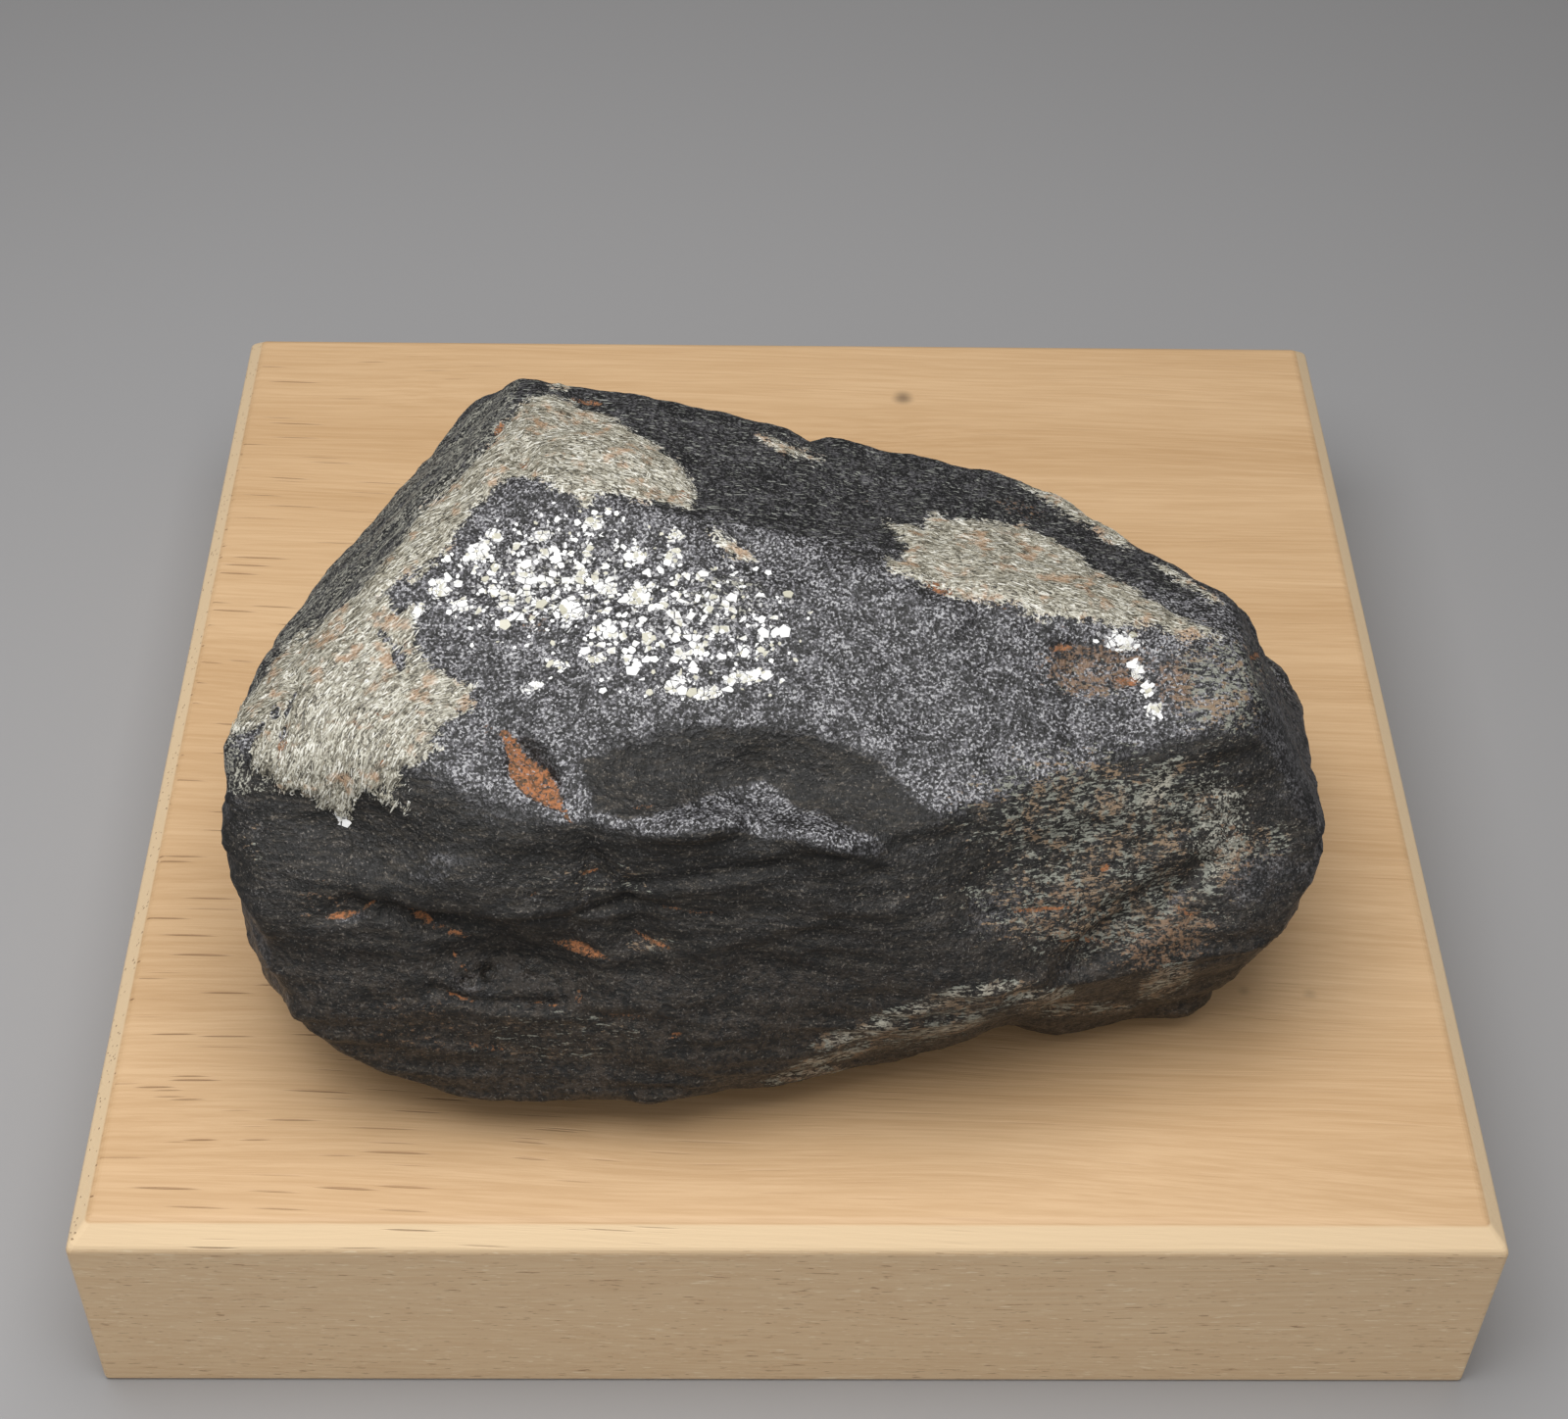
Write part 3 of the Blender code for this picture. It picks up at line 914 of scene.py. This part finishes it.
def bare_ore(net, grit, settings):
    """Dark ore with violet-grey grains and bright specks, and a painted sheen that crowds them onto the
    faces turned up.
    """
    frayed = net.blend((net.attribute("sheen"), 1.0), (grit.fine, 1.1), (grit.grain, 1.3))
    sheen = net.fade(frayed, 1.35, 2.1)
    tone = net.blend((grit.dust, 0.5), (grit.fine, 0.3), (grit.grain, 0.2))
    # Painted sheen: more grey grains where the faces turn up
    grain_and_sheen = net.times(net.fade(tone, 0.45, 0.58), net.fade(sheen, 0.0, 1.0, 0.42, 1.0))
    ore = net.mix(grain_and_sheen, settings.dark_ore, settings.grey_grain_and_sheen)
    # Painted glints: bright specks, mostly on the faces with the painted sheen
    spark = net.fade(net.blend((grit.dust, 0.75), (grit.grain, 0.25)), 0.56, 0.61)
    spark = net.times(spark, net.fade(sheen, 0.0, 1.0, 0.05, 0.85))
    ore = net.mix(spark, ore, settings.speck_and_glint)

    # Near-black blotches, partly painted shade: strongest where no face has the painted sheen
    broad = net.noise(grit.place, 0.4, 2.0, 0.65)
    blotchy = net.blend((broad, 0.4), (grit.fine, 0.35), (grit.dust, 0.25))
    gloom = net.times(net.fade(blotchy, 0.54, 0.44, 0.0, 0.8), net.fade(sheen, 0.0, 1.0, 1.0, 0.3))
    return net.mix(gloom, ore, settings.black)


def hollows(net, grit, dull_and_shaded, settings, ore):
    """Brownish hollows and faces turned to the front, darkened with painted shade and with long faint
    streaks, pale crumbs in them, and small pale dots everywhere as painted glints.
    """
    # Painted shade: the hollows darken towards a brownish near-black
    shaded_earth = net.mix(net.fade(grit.wisps, 0.46, 0.64), settings.dark_earth_shade, settings.light_earth_shade)
    ore = net.mix(net.times(dull_and_shaded, 0.85), ore, shaded_earth)
    # Painted glints: small pale dots all over, standing in for tiny reflections
    dots = net.fade(net.blend((grit.dust, 0.8), (grit.grain, 0.2)), 0.60, 0.66)
    ore = net.mix(net.times(dots, 0.6), ore, settings.dot)
    crumbs = net.fade(net.blend((grit.dust, 0.7), (grit.wisps, 0.3)), 0.58, 0.63)
    return net.mix(net.times(crumbs, dull_and_shaded, 0.6), ore, settings.crumb)


def pale_marks(net, grit, settings, ore):
    """Thin dashes on the faces turned back, flecks in the layers and thin films of mica."""
    streak = net.noise(net.scaled(grit.place, (0.6, 3.6, 3.6)), 1.8, 1.0, 0.5)
    dashes = net.times(net.fade(streak, 0.63, 0.70), net.attribute("dash"))
    ore = net.mix(dashes, ore, settings.pale_dash)

    weight = net.attribute("fleck")
    streaky = net.noise(net.scaled(grit.place, (0.45, 2.0, 3.0)), 1.5, 3.0, 0.75)
    streaky = net.blend((grit.layered, 0.45), (streaky, 0.55))
    tint = net.mix(net.fade(grit.grain, 0.47, 0.57), settings.green_fleck, settings.tan_fleck)
    tint = net.mix(net.fade(weight, 1.0, 1.8, 0.0, 0.8), tint, settings.bright_fleck)
    ore = net.mix(net.blotches(weight, streaky, 0.70, 0.48, 0.05), ore, tint)

    coat = net.blend((grit.dust, 0.4), (grit.strands, 0.3), (grit.bundles, 0.3))
    tint = net.mix(net.fade(grit.strands, 0.4, 0.6), settings.thin_film, settings.thick_film)
    return net.mix(net.blotches(net.attribute("film"), coat, 0.75, 0.49, 0.06), ore, tint)


def stains(net, grit, settings, ore):
    """Brown dust low on the stone, and brown stain."""
    level = net.add("ShaderNodeSeparateXYZ", {0: grit.place}, output="Z")
    patchy = net.fade(net.blend((grit.grain, 0.4), (grit.fine, 0.6)), 0.44, 0.60)
    dusty = net.times(patchy, net.fade(level, 44.0, 26.0, 0.0, 0.55))
    ore = net.mix(dusty, ore, settings.low_dust)
    mottled = net.blend((grit.fine, 0.5), (grit.layered, 0.5))
    stain = net.blotches(net.attribute("stain"), mottled, 0.74, 0.46, 0.08)
    tint = net.mix(net.fade(grit.fine, 0.42, 0.62), settings.brown, settings.tan)
    return net.mix(net.times(stain, 0.75), ore, tint)


def white_grains(net, grit, settings, ore):
    """Mosaic of white mica grains, the small ones greyer."""
    weight = net.attribute("flakes")
    tint = net.mix(net.fade(grit.grain, 0.45, 0.58), settings.grey, settings.white)
    ore = net.mix(net.grains(grit.place, weight, 3.6), ore, tint)
    tint = net.mix(net.fade(grit.grain, 0.44, 0.62), settings.white, settings.tan)
    return net.mix(net.grains(grit.place, weight, 1.9), ore, tint)


def mica_colour(net, place, value, settings):
    """From the gaps between the fibres to the palest ones, stained by iron in broad patches."""
    base = net.ramp(
        value,
        ((0.0, settings.gap), (0.34, settings.body), (0.72, settings.pale), (1.0, settings.silk)),
    )
    warm = net.fade(net.noise(place, 0.45, 3.0, 0.7), 0.52, 0.66)
    return net.mix(net.times(warm, 0.6), base, settings.stained)


def mica_ground(net, grit, settings, ore):
    """How far the ground under the fibres covers the ore, and the colour with it laid on."""
    tone = net.blend((grit.strands, 0.6), (grit.dust, 0.25), (grit.bundles, 0.15))
    ground = mica_colour(net, grit.place, net.fade(tone, 0.42, 0.62), settings)
    ragged = net.math("SUBTRACT", net.blend((grit.strands, 0.6), (grit.fine, 0.4)), 0.5)
    cover = net.fade(net.math("ADD", net.attribute("mica"), net.times(ragged, 3.6)), 0.0, 0.12)
    deep = net.blend((grit.dust, 0.4), (grit.fine, 0.3), (grit.bundles, 0.3))
    hole = net.times(cover, net.fade(deep, 0.43, 0.38, 0.0, 0.85))
    return cover, net.mix(net.math("SUBTRACT", cover, hole), ore, ground)


def earthy_rust(net, grit, settings, base):
    """Where the rust lies, and the colour with it laid on, browner where it is thin."""
    weight = net.attribute("rust")
    rust = net.blotches(weight, net.noise(grit.place, 3.4, 3.0, 0.85), 0.83, 0.40, 0.06)
    glow = net.fade(net.blend((grit.fine, 0.5), (grit.dust, 0.5)), 0.41, 0.57)
    glow = net.times(glow, net.fade(weight, 0.4, 1.15, 0.2, 1.0))
    return rust, net.mix(rust, base, net.mix(glow, settings.brown, settings.rust))


def stone_material(settings):
    """Ore with its painted sheen, glints and shade, stains, rust, white grains and the ground under the
    mica's fibres, in one material.
    """
    material, net, shader, place = new_material("ore_with_mica")
    grit = stone_grit(net, place)
    # Where the painted shade lies, also a little rougher
    dull_and_shaded = net.fade(net.blend((net.attribute("dull_and_shaded"), 1.0), (grit.wisps, 0.8)), 0.55, 0.95)
    ore = hollows(net, grit, dull_and_shaded, settings.stone, bare_ore(net, grit, settings.stone))
    ore = stains(net, grit, settings.marks, pale_marks(net, grit, settings.marks, ore))
    ore = white_grains(net, grit, settings.flakes, ore)
    cover, base = mica_ground(net, grit, settings.mica, ore)
    rust, base = earthy_rust(net, grit, settings.marks, base)
    net.link(base, shader.inputs["Base Color"])

    # Rust, mica and hollows are matt, and the pits shine
    matt = net.math("MAXIMUM", rust, net.times(cover, 0.55))
    rough = net.fade(grit.fine, 0.35, 0.65, 0.52, 0.40)
    rough = net.blend((rough, 1.0), (dull_and_shaded, 0.18), (net.attribute("pit"), -0.3))
    net.link(net.math("MAXIMUM", rough, net.times(matt, 0.9)), shader.inputs["Roughness"])
    shader.inputs["IOR"].default_value = 1.5
    lift(net, shader, net.blend((grit.fine, 0.22), (grit.dust, 0.08)))
    return material


def fibre_material(settings):
    material, net, shader, place = new_material("mica_fibres")
    tone = net.blend((net.attribute("tone"), 0.75), (net.noise(place, 0.5), 0.25))
    base = mica_colour(net, place, net.fade(tone, 0.0, 1.0, 0.05, 0.95), settings)
    net.link(base, shader.inputs["Base Color"])
    shader.inputs["Roughness"].default_value = 0.45
    shader.inputs["IOR"].default_value = 1.6
    return material


def flake_material(settings):
    material, net, shader, place = new_material("white_flakes")
    duller = net.fade(net.attribute("tone"), 0.74, 0.80)
    patchy = net.fade(net.noise(place, 3.0), 0.56, 0.72, 0.0, 0.5)
    base = net.mix(net.math("MAXIMUM", duller, patchy), settings.white, settings.tan)
    net.link(base, shader.inputs["Base Color"])
    shader.inputs["Roughness"].default_value = 0.35
    shader.inputs["IOR"].default_value = 1.6
    lift(net, shader, net.times(net.noise(place, 6.0), 0.04))
    return material


def new_tree(name, inputs):
    """The Net and the input sockets of a new tree, whose inputs are {name: (socket type, value)}."""
    tree = bpy.data.node_groups.new(name, "GeometryNodeTree")
    for way in ("INPUT", "OUTPUT"):
        tree.interface.new_socket("Geometry", in_out=way, socket_type="NodeSocketGeometry")
    for label, (kind, _) in inputs.items():
        tree.interface.new_socket(label, in_out="INPUT", socket_type=kind)
    source = tree.nodes.new("NodeGroupInput")
    return Net(tree), {socket.name: socket for socket in source.outputs if socket.name}


def grown(build, settings, lengths, seed, material):
    """The plain mesh that a tree makes on a copy of the stone's surface."""
    inputs = {
        "Crowding": ("NodeSocketFloat", settings.crowding / MM**2),
        "Seed": ("NodeSocketInt", seed),
        "Material": ("NodeSocketMaterial", material),
    }
    for name in lengths:
        inputs[name] = ("NodeSocketFloat", getattr(settings, name) * MM)
    tree = build(inputs)
    helper = bpy.data.objects.new(tree.name, bpy.data.objects["stone_surface"].data.copy())
    bpy.context.scene.collection.objects.link(helper)
    modifier = helper.modifiers.new(tree.name, "NODES")
    modifier.node_group = tree
    for item in tree.interface.items_tree:
        if item.in_out == "INPUT" and item.name in inputs:
            modifier[item.identifier] = inputs[item.name][1]
    return evaluated_mesh(helper)


def swung(net, turned, spreads):
    """A rotation swung at random about its own Z, Y and X, by up to these angles either way."""
    for axis, spread, seed in zip(((0, 0, 1), (0, 1, 0), (1, 0, 0)), spreads, (21, 22, 23)):
        angle = net.random(-spread, spread, seed)
        swing = net.add("FunctionNodeAxisAngleToRotation", {"Axis": axis, "Angle": angle})
        turned = net.add("FunctionNodeRotateRotation", {0: turned, 1: swing}, rotation_space="LOCAL")
    return turned


def scatter(net, given, cover, rotation, shape, scale):
    """Ends a tree with real copies of a shape on the base, each with its own random tone."""
    density = net.times(cover, given["Crowding"])
    seeded = {"Mesh": given["Geometry"], "Density": density, "Seed": given["Seed"]}
    points = net.add("GeometryNodeDistributePointsOnFaces", seeded)
    turned = rotation(points.node.outputs["Normal"])
    placed = {"Points": points, "Instance": shape, "Rotation": turned, "Scale": scale}
    copies = net.add("GeometryNodeInstanceOnPoints", placed)
    toned = {0: copies, "Name": "tone", "Value": net.random(0.0, 1.0, 11)}
    copies = net.add("GeometryNodeStoreNamedAttribute", toned, data_type="FLOAT", domain="INSTANCE")
    real = net.add("GeometryNodeRealizeInstances", {0: copies})
    painted = net.add("GeometryNodeSetMaterial", {"Geometry": real, "Material": given["Material"]})
    net.link(painted, net.tree.nodes.new("NodeGroupOutput").inputs[0])
    return net.tree


def fibre_tree(inputs):
    """Lath-like fibres that lie along the stored fibre direction."""
    net, given = new_tree("mica_fibres", inputs)

    def lying(normal):
        upright = net.add("FunctionNodeAlignRotationToVector", {"Vector": normal}, axis="Z")
        along = {"Rotation": upright, "Vector": net.named("fibre", "FLOAT_VECTOR")}
        turned = net.add("FunctionNodeAlignRotationToVector", along, axis="X", pivot_axis="Z")
        return swung(net, turned, (0.34, 0.20, 0.5))

    spindle = net.add("GeometryNodeMeshUVSphere", {"Segments": 3, "Rings": 3, "Radius": 0.5})
    spindle = net.add("GeometryNodeTransform", {"Geometry": spindle, "Rotation": (0, math.pi / 2, 0)})
    length = net.random(given["shortest"], given["longest"], 31)
    width = net.times(given["width"], net.random(0.5, 1.6, 32))
    thick = net.times(width, net.random(0.5, 1.0, 33))
    scale = net.add("ShaderNodeCombineXYZ", {0: length, 1: width, 2: thick})
    cover = net.fade(net.named("mica_cover"), 0.35, 0.8)
    return scatter(net, given, cover, lying, spindle, scale)


def flake_tree(inputs):
    """Small many-sided flakes that lie nearly flat on the stone."""
    net, given = new_tree("white_flakes", inputs)

    def lying(normal):
        turned = net.add("FunctionNodeAlignRotationToVector", {"Vector": normal}, axis="Z")
        return swung(net, turned, (math.pi, 0.22, 0.22))

    disc = net.add("GeometryNodeMeshCylinder", {"Vertices": 5, "Radius": 1.0, "Depth": 0.34})
    share = net.math("POWER", net.random(0.0, 1.0, 31), 2.2)
    spread = net.math("SUBTRACT", given["largest"], given["smallest"])
    radius = net.math("ADD", given["smallest"], net.times(share, spread))
    other = net.times(radius, net.random(0.55, 1.0, 32))
    scale = net.add("ShaderNodeCombineXYZ", {0: radius, 1: other, 2: net.times(radius, 0.6)})
    return scatter(net, given, net.named("flakes"), lying, disc, scale)


def wood_material(settings):
    """Pale wood with its grain along X: broad tones, fine grain, open pores and a small knot."""
    material, net, shader, place = new_material("pale_wood")
    along, side, level = (net.add("ShaderNodeSeparateXYZ", {0: place}, output=axis) for axis in "XYZ")
    slow = net.noise(net.scaled(place, (0.010, 0.045, 0.045)), 1.0, 2.0)
    bend = net.math("ADD", net.times(slow, 9.0), net.times(along, 0.035))
    sway = net.add("ShaderNodeCombineXYZ", {1: bend, 2: net.times(slow, 7.0)})
    grain = net.vector("ADD", place, sway)

    band = net.noise(net.scaled(grain, (0.006, 0.16, 0.16)), 1.0, 3.0, 0.6)
    thread = net.noise(net.scaled(grain, (0.09, 3.2, 3.2)), 1.0, 3.0, 0.65)
    tone = net.blend((net.fade(band, 0.3, 0.7), 0.5), (net.fade(thread, 0.3, 0.7), 0.5))
    top = net.mix(tone, settings.light_wood, settings.dark_wood)
    top = net.mix(net.fade(level, STAND_TOP - 0.15, STAND_TOP - 0.3), top, settings.edge_wood)

    # Below the chamfers the sawn sides are paler, with short light and dark dashes
    foot = STAND_TOP - CHAMFER
    short = net.noise(net.scaled(grain, (0.55, 5.0, 5.0)), 1.0, 2.0, 0.6)
    sawn = net.mix(net.fade(thread, 0.3, 0.7, 0.25, 0.75), settings.edge_wood, settings.light_wood)
    sawn = net.mix(net.fade(short, 0.62, 0.70, 0.0, 0.8), sawn, settings.light_dash)
    sawn = net.mix(net.fade(short, 0.37, 0.29, 0.0, 0.6), sawn, settings.pore)
    base = net.mix(net.fade(level, foot + 0.2, foot - 0.2), top, sawn)

    # Open pores: long thin dashes, dark to the left and in front, and faint elsewhere
    stretched = net.scaled(grain, (0.075, 2.4, 2.4))
    pick = net.cells(stretched, 1.0, "Color")
    leftward = net.fade(net.blend((along, 1.0), (side, 0.25)), -8.0, -52.0, 0.12, 0.85)
    dash = net.times(net.fade(pick, 0.15, 0.55), net.fade(net.cells(stretched, 1.0), 0.23, 0.10))
    dash = net.times(dash, net.times(leftward, net.fade(level, foot - 0.1, foot + 0.2)))
    base = net.mix(net.times(dash, 0.7), base, settings.pore)

    for x, y, radius, strength in WOOD_SPOTS:
        middle = {0: place, 1: (x, y, STAND_TOP)}
        away = net.add("ShaderNodeVectorMath", middle, output="Value", operation="DISTANCE")
        away = net.math("ADD", away, net.times(thread, 0.9))
        base = net.mix(net.fade(away, radius + 0.45, 0.45, 0.0, strength), base, settings.smudge)
    net.link(base, shader.inputs["Base Color"])
    shader.inputs["Roughness"].default_value = 0.5
    shader.inputs["Specular IOR Level"].default_value = 0.35
    lift(net, shader, net.blend((thread, 0.03), (dash, -0.08)))
    return material


class SPECIMEN_OT_stone(bpy.types.Operator):
    """Make the stone's fine surface, with its mica ground, rust and stains"""

    bl_idname = "specimen.stone"
    bl_label = "Stone"

    def execute(self, context):
        settings = context.scene.specimen
        mesh = dense_stone(settings.stone)
        mark_stone(mesh, settings.stone)
        piece = add_piece("stone_surface", mesh, stone_material(settings))
        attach(piece, "root")
        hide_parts("struverite_stone")
        return {"FINISHED"}


class SPECIMEN_OT_mica(bpy.types.Operator):
    """Grow the fibres of the mica sheets on the stone's surface"""

    bl_idname = "specimen.mica"
    bl_label = "Mica fibres"

    def execute(self, context):
        settings = context.scene.specimen.mica
        material = fibre_material(settings)
        mesh = grown(fibre_tree, settings, ("shortest", "longest", "width"), 4, material)
        piece = add_piece("mica_fibres", mesh, material)
        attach(piece, "root")
        return {"FINISHED"}


class SPECIMEN_OT_flakes(bpy.types.Operator):
    """Scatter the loose white mica flakes over the stone's top"""

    bl_idname = "specimen.flakes"
    bl_label = "White flakes"

    def execute(self, context):
        settings = context.scene.specimen.flakes
        material = flake_material(settings)
        mesh = grown(flake_tree, settings, ("smallest", "largest"), 9, material)
        piece = add_piece("white_flakes", mesh, material)
        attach(piece, "root")
        return {"FINISHED"}


class SPECIMEN_OT_stand(bpy.types.Operator):
    """Ease the stand's edges and give it its wood"""

    bl_idname = "specimen.stand"
    bl_label = "Wooden stand"

    def execute(self, context):
        settings = context.scene.specimen.stand
        bm = copied_node("wooden_stand")
        bmesh.ops.dissolve_limit(bm, angle_limit=math.radians(1), verts=bm.verts, edges=bm.edges)
        bmesh.ops.bevel(
            bm, geom=bm.edges, offset=settings.edge_radius * MM, segments=3, profile=0.5, affect="EDGES"
        )
        mesh = bpy.data.meshes.new("stand_board")
        bm.to_mesh(mesh)
        bm.free()
        piece = add_piece("stand_board", mesh, wood_material(settings))
        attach(piece, "root")
        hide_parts("wooden_stand")
        return {"FINISHED"}


class SPECIMEN_OT_stage(bpy.types.Operator):
    """Lay the floor, hang the soft lamp and set up the photograph's camera"""

    bl_idname = "specimen.stage"
    bl_label = "Floor, light and camera"

    def execute(self, context):
        settings = context.scene.specimen.stage
        scene = context.scene
        scene.view_settings.view_transform = "Standard"

        bm = bmesh.new()
        bmesh.ops.create_grid(bm, x_segments=1, y_segments=1, size=FLOOR_REACH)
        mesh = bpy.data.meshes.new("floor")
        bm.to_mesh(mesh)
        bm.free()
        material, _, shader, _ = new_material("plain_floor")
        shader.inputs["Base Color"].default_value = opaque(settings.floor)
        shader.inputs["Roughness"].default_value = 0.9
        floor = add_piece("floor", mesh, material)
        floor.location.z = -FLOOR_DROP

        lamp = bpy.data.lights.new("soft_lamp", "AREA")
        lamp.shape = "RECTANGLE"
        lamp.size, lamp.size_y = LAMP_SIZE
        lamp.energy = settings.lamp_power
        hung = bpy.data.objects.new("soft_lamp", lamp)
        hung.location = LAMP_PLACE
        hung.visible_camera = False
        scene.collection.objects.link(hung)

        # The surround is brighter in front of the specimen than behind it
        world = bpy.data.worlds.new("surround")
        world.use_nodes = True
        net = Net(world.node_tree)
        depth = net.add("ShaderNodeSeparateXYZ", {0: net.add("ShaderNodeTexCoord")}, output="Y")
        strength = net.fade(depth, -0.7, 0.7, settings.surround, settings.surround * settings.shade)
        background = world.node_tree.nodes["Background"]
        net.link(strength, background.inputs["Strength"])
        background.inputs["Color"].default_value = opaque(settings.surround_colour)
        scene.world = world

        camera = bpy.data.cameras.new("camera")
        camera.sensor_width = SENSOR_WIDTH
        camera.lens = FOCAL_PIXELS * SENSOR_WIDTH / PHOTO_WIDTH
        camera.clip_start = 0.01
        viewer = bpy.data.objects.new("camera", camera)
        viewer.location = Vector(CAMERA_PLACE) * MM
        viewer.rotation_euler = camera_turn().to_euler()
        scene.collection.objects.link(viewer)
        scene.camera = viewer
        return {"FINISHED"}


class SPECIMEN_PT_panel(bpy.types.Panel):
    """The specimen's steps and settings in the 3D view's sidebar"""

    bl_label = "Specimen"
    bl_idname = "SPECIMEN_PT_panel"
    bl_space_type = "VIEW_3D"
    bl_region_type = "UI"
    bl_category = "Specimen"

    def draw(self, context):
        for operator, groups in STEPS:
            self.layout.operator(operator.bl_idname)
            for group in groups:
                settings = getattr(context.scene.specimen, group)
                for name in settings.bl_rna.properties.keys():
                    if name not in ("rna_type", "name"):
                        self.layout.prop(settings, name)


STEPS = (
    (SPECIMEN_OT_stone, ("stone", "marks")),
    (SPECIMEN_OT_mica, ("mica",)),
    (SPECIMEN_OT_flakes, ("flakes",)),
    (SPECIMEN_OT_stand, ("stand",)),
    (SPECIMEN_OT_stage, ("stage",)),
)

CLASSES = (
    StoneSettings,
    MarkSettings,
    MicaSettings,
    FlakeSettings,
    StandSettings,
    StageSettings,
    SpecimenSettings,
    *(operator for operator, _ in STEPS),
    SPECIMEN_PT_panel,
)


def register():
    for cls in CLASSES:
        bpy.utils.register_class(cls)
    bpy.types.Scene.specimen = PointerProperty(type=SpecimenSettings)


def unregister():
    del bpy.types.Scene.specimen
    for cls in reversed(CLASSES):
        bpy.utils.unregister_class(cls)


def main():
    register()
    bpy.ops.specimen.stone()
    bpy.ops.specimen.mica()
    bpy.ops.specimen.flakes()
    bpy.ops.specimen.stand()
    bpy.ops.specimen.stage()


if __name__ == "__main__":
    main()
